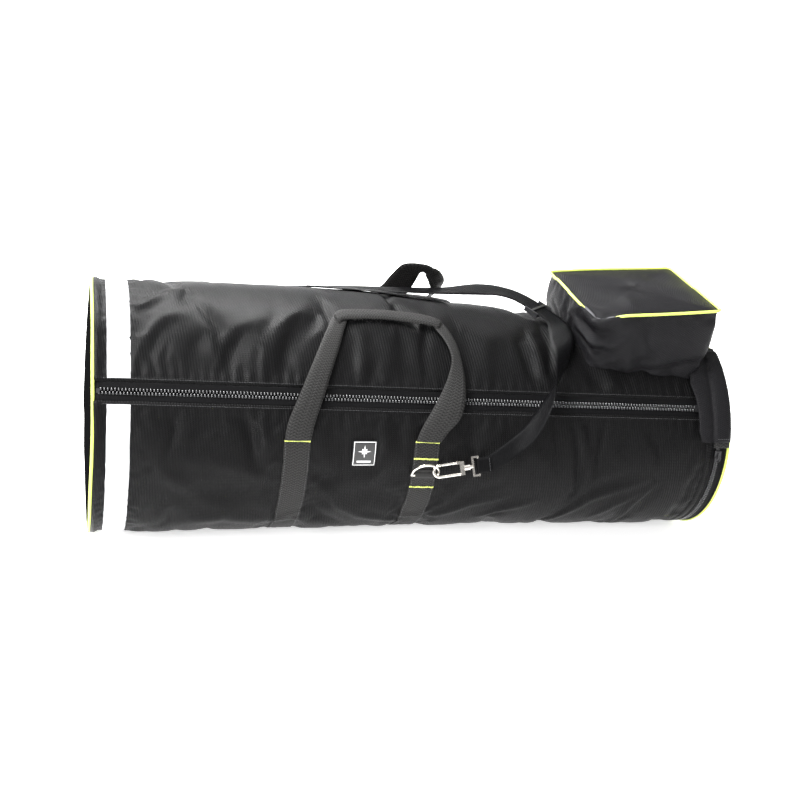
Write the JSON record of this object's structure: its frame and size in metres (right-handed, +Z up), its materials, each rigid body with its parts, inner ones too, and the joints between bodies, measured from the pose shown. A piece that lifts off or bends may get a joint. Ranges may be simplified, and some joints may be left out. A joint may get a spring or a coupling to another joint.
{
  "type": "telescope carry case",
  "caption": "Long padded cylindrical carry case for a telescope tube, with a zipped side, a zipped round lid, a raised box, web handles and a shoulder strap.",
  "frame": {"origin": "middle of the bounding box, on the surface the case lies on", "axes": "+X along the case towards the lid end; -Y is the side with the main zip; +Z up"},
  "size_m": [1.0284, 0.432, 0.4306],
  "materials": {
    "black_fabric": "woven polyester, satin",
    "black_metal": "black enamel",
    "black_nylon": "moulded coil",
    "black_plastic": "moulded",
    "black_webbing": "woven webbing",
    "foam_padding": "closed-cell foam",
    "lime_piping": "bright cord",
    "lime_thread": "bright thread",
    "lining_fabric": "plain weave",
    "nickel": "nickel plate",
    "reflective_tape": "reflective tape",
    "rubber_label": "matte rubber",
    "stiffener_board": "board",
    "zip_tape": "woven tape"
  },
  "bodies": {
    "bag": {"body_panel_outer": "black_fabric", "body_panel_foam": "foam_padding", "body_panel_lining": "lining_fabric", "reflective_band": "reflective_tape", "base_piping": "lime_piping", "base_disc": "black_fabric", "base_stiffener": "stiffener_board", "base_foam": "foam_padding", "base_lining": "lining_fabric", "main_zip_tape_upper": "zip_tape", "main_zip_tape_lower": "zip_tape", "main_zip_teeth_upper": "black_nylon", "main_zip_teeth_lower": "black_nylon", "main_zip_stops": "black_metal", "box_walls": "black_fabric", "box_lid_panel": "black_fabric", "box_foam": "foam_padding", "box_lid_foam": "foam_padding", "box_lining": "lining_fabric", "box_piping": "lime_piping", "webbing_strap_left": "black_webbing", "webbing_strap_right": "black_webbing", "bar_tack_stitches": "lime_thread", "label_patch": "rubber_label", "d_ring_loop_front": "black_webbing", "d_ring_loop_rear": "black_webbing", "lid_zip_tape_body": "zip_tape", "lid_zip_teeth_body": "black_nylon", "lid_hinge_panel": "black_fabric", "shoulder_strap": "black_webbing", "front_hook_eye": "nickel", "rear_hook_eye": "nickel"},
    "lid": {"lid_zip_teeth_lid": "black_nylon", "lid_zip_tape_lid": "zip_tape", "lid_hinge_flap": "black_fabric", "lid_piping": "lime_piping", "lid_rim_band": "black_fabric", "lid_disc": "black_fabric", "lid_stiffener": "stiffener_board", "lid_foam": "foam_padding", "lid_lining": "lining_fabric"},
    "grip": {"grip_pad": "black_fabric", "grip_webbing": "black_webbing"},
    "main_zip_slider": {"main_zip_slider": "black_metal"},
    "main_zip_pull": {"main_zip_pull": "black_metal"},
    "lid_zip_slider_upper": {"lid_zip_slider_upper": "black_metal"},
    "lid_zip_ring_upper": {"lid_zip_ring_upper": "black_metal"},
    "lid_zip_slider_lower": {"lid_zip_slider_lower": "black_metal"},
    "lid_zip_ring_lower": {"lid_zip_ring_lower": "black_metal"},
    "front_handle": {"front_handle": "black_webbing"},
    "rear_handle": {"rear_handle": "black_webbing"},
    "front_d_ring": {"front_d_ring": "nickel"},
    "rear_d_ring": {"rear_d_ring": "nickel"},
    "strap_adjuster": {"strap_adjuster": "black_plastic"},
    "front_hook": {"front_hook_body": "nickel"},
    "front_hook_gate": {"front_hook_gate": "nickel"},
    "rear_hook": {"rear_hook_body": "nickel"},
    "rear_hook_gate": {"rear_hook_gate": "nickel"}
  },
  "joints": [
    {"name": "main_zip_run", "type": "slide", "parent": "bag", "child": "main_zip_slider", "axis": [-0.9986, -0.0363, 0.0372], "range_m": [0, 0.94]},
    {"name": "main_pull_flip", "type": "hinge", "parent": "main_zip_slider", "child": "main_zip_pull", "pos_m": [0.45851, -0.14024, 0.26886], "axis": [-0.0102, -0.5649, -0.8251], "range_deg": [0, 5]},
    {"name": "lid_zip_upper_run", "type": "hinge", "parent": "bag", "child": "lid_zip_slider_upper", "pos_m": [0.5133, -0.00558, 0.16692], "axis": [-1, 0, 0], "range_deg": [0, 70]},
    {"name": "lid_zip_lower_run", "type": "hinge", "parent": "bag", "child": "lid_zip_slider_lower", "pos_m": [0.5133, -0.00558, 0.16692], "axis": [1, 0, 0], "range_deg": [0, 160]},
    {"name": "upper_ring_flip", "type": "hinge", "parent": "lid_zip_slider_upper", "child": "lid_zip_ring_upper", "pos_m": [0.4942, -0.03476, 0.33242], "axis": [1, 0, 0], "range_deg": [0, 160]},
    {"name": "lower_ring_flip", "type": "hinge", "parent": "lid_zip_slider_lower", "child": "lid_zip_ring_lower", "pos_m": [0.4942, -0.17108, 0.19611], "axis": [-1, 0, 0], "range_deg": [0, 160]},
    {"name": "lid_swing", "type": "hinge", "parent": "bag", "child": "lid", "pos_m": [0.4942, 0.15942, 0.16692], "axis": [0, 0, 1], "range_deg": [0, 110]},
    {"name": "grip_lift", "type": "hinge", "parent": "lid", "child": "grip", "pos_m": [0.5063, -0.16448, 0.21099], "axis": [0, 0.7071, 0.7071], "range_deg": [0, 55]},
    {"name": "front_handle_swing", "type": "hinge", "parent": "bag", "child": "front_handle", "pos_m": [-0.1132, -0.18999, 0.23406], "axis": [0.9991, 0.0324, -0.0278], "range_deg": [0, 100]},
    {"name": "rear_handle_swing", "type": "hinge", "parent": "bag", "child": "rear_handle", "pos_m": [-0.2147, 0.19315, 0.23453], "axis": [-1, 0, 0], "range_deg": [0, 100]},
    {"name": "front_ring_tilt", "type": "hinge", "parent": "bag", "child": "front_d_ring", "pos_m": [-0.01162, -0.19009, 0.17337], "axis": [0.9986, 0.0322, -0.043], "range_deg": [-6, 8]},
    {"name": "front_hook_swivel", "type": "hinge", "parent": "bag", "child": "front_hook", "pos_m": [0.01057, -0.19412, 0.18258], "axis": [0.9744, -0.0855, 0.208], "range_deg": [-8, 8]},
    {"name": "front_gate_press", "type": "hinge", "parent": "front_hook", "child": "front_hook_gate", "pos_m": [0.03794, -0.19338, 0.19699], "axis": [-0.154, -0.9277, 0.3401], "range_deg": [0, 20], "stiffness_Nm_per_rad": 0.03, "springref_deg": -5.73},
    {"name": "rear_ring_tilt", "type": "hinge", "parent": "bag", "child": "rear_d_ring", "pos_m": [-0.21471, 0.19613, 0.17763], "axis": [-0.9999, -0.0023, 0.0141], "range_deg": [-6, 8]},
    {"name": "rear_hook_swivel", "type": "hinge", "parent": "bag", "child": "rear_hook", "pos_m": [-0.2362, 0.20081, 0.18809], "axis": [-0.9579, 0.1143, 0.2634], "range_deg": [-8, 8]},
    {"name": "rear_gate_press", "type": "hinge", "parent": "rear_hook", "child": "rear_hook_gate", "pos_m": [-0.26271, 0.20087, 0.20404], "axis": [0.2009, 0.9222, 0.3303], "range_deg": [0, 20], "stiffness_Nm_per_rad": 0.03, "springref_deg": -5.73},
    {"name": "adjuster_run", "type": "slide", "parent": "bag", "child": "strap_adjuster", "axis": [-0.6051, 0.7643, 0.2229], "range_m": [-0.012, 0.012]}
  ]
}
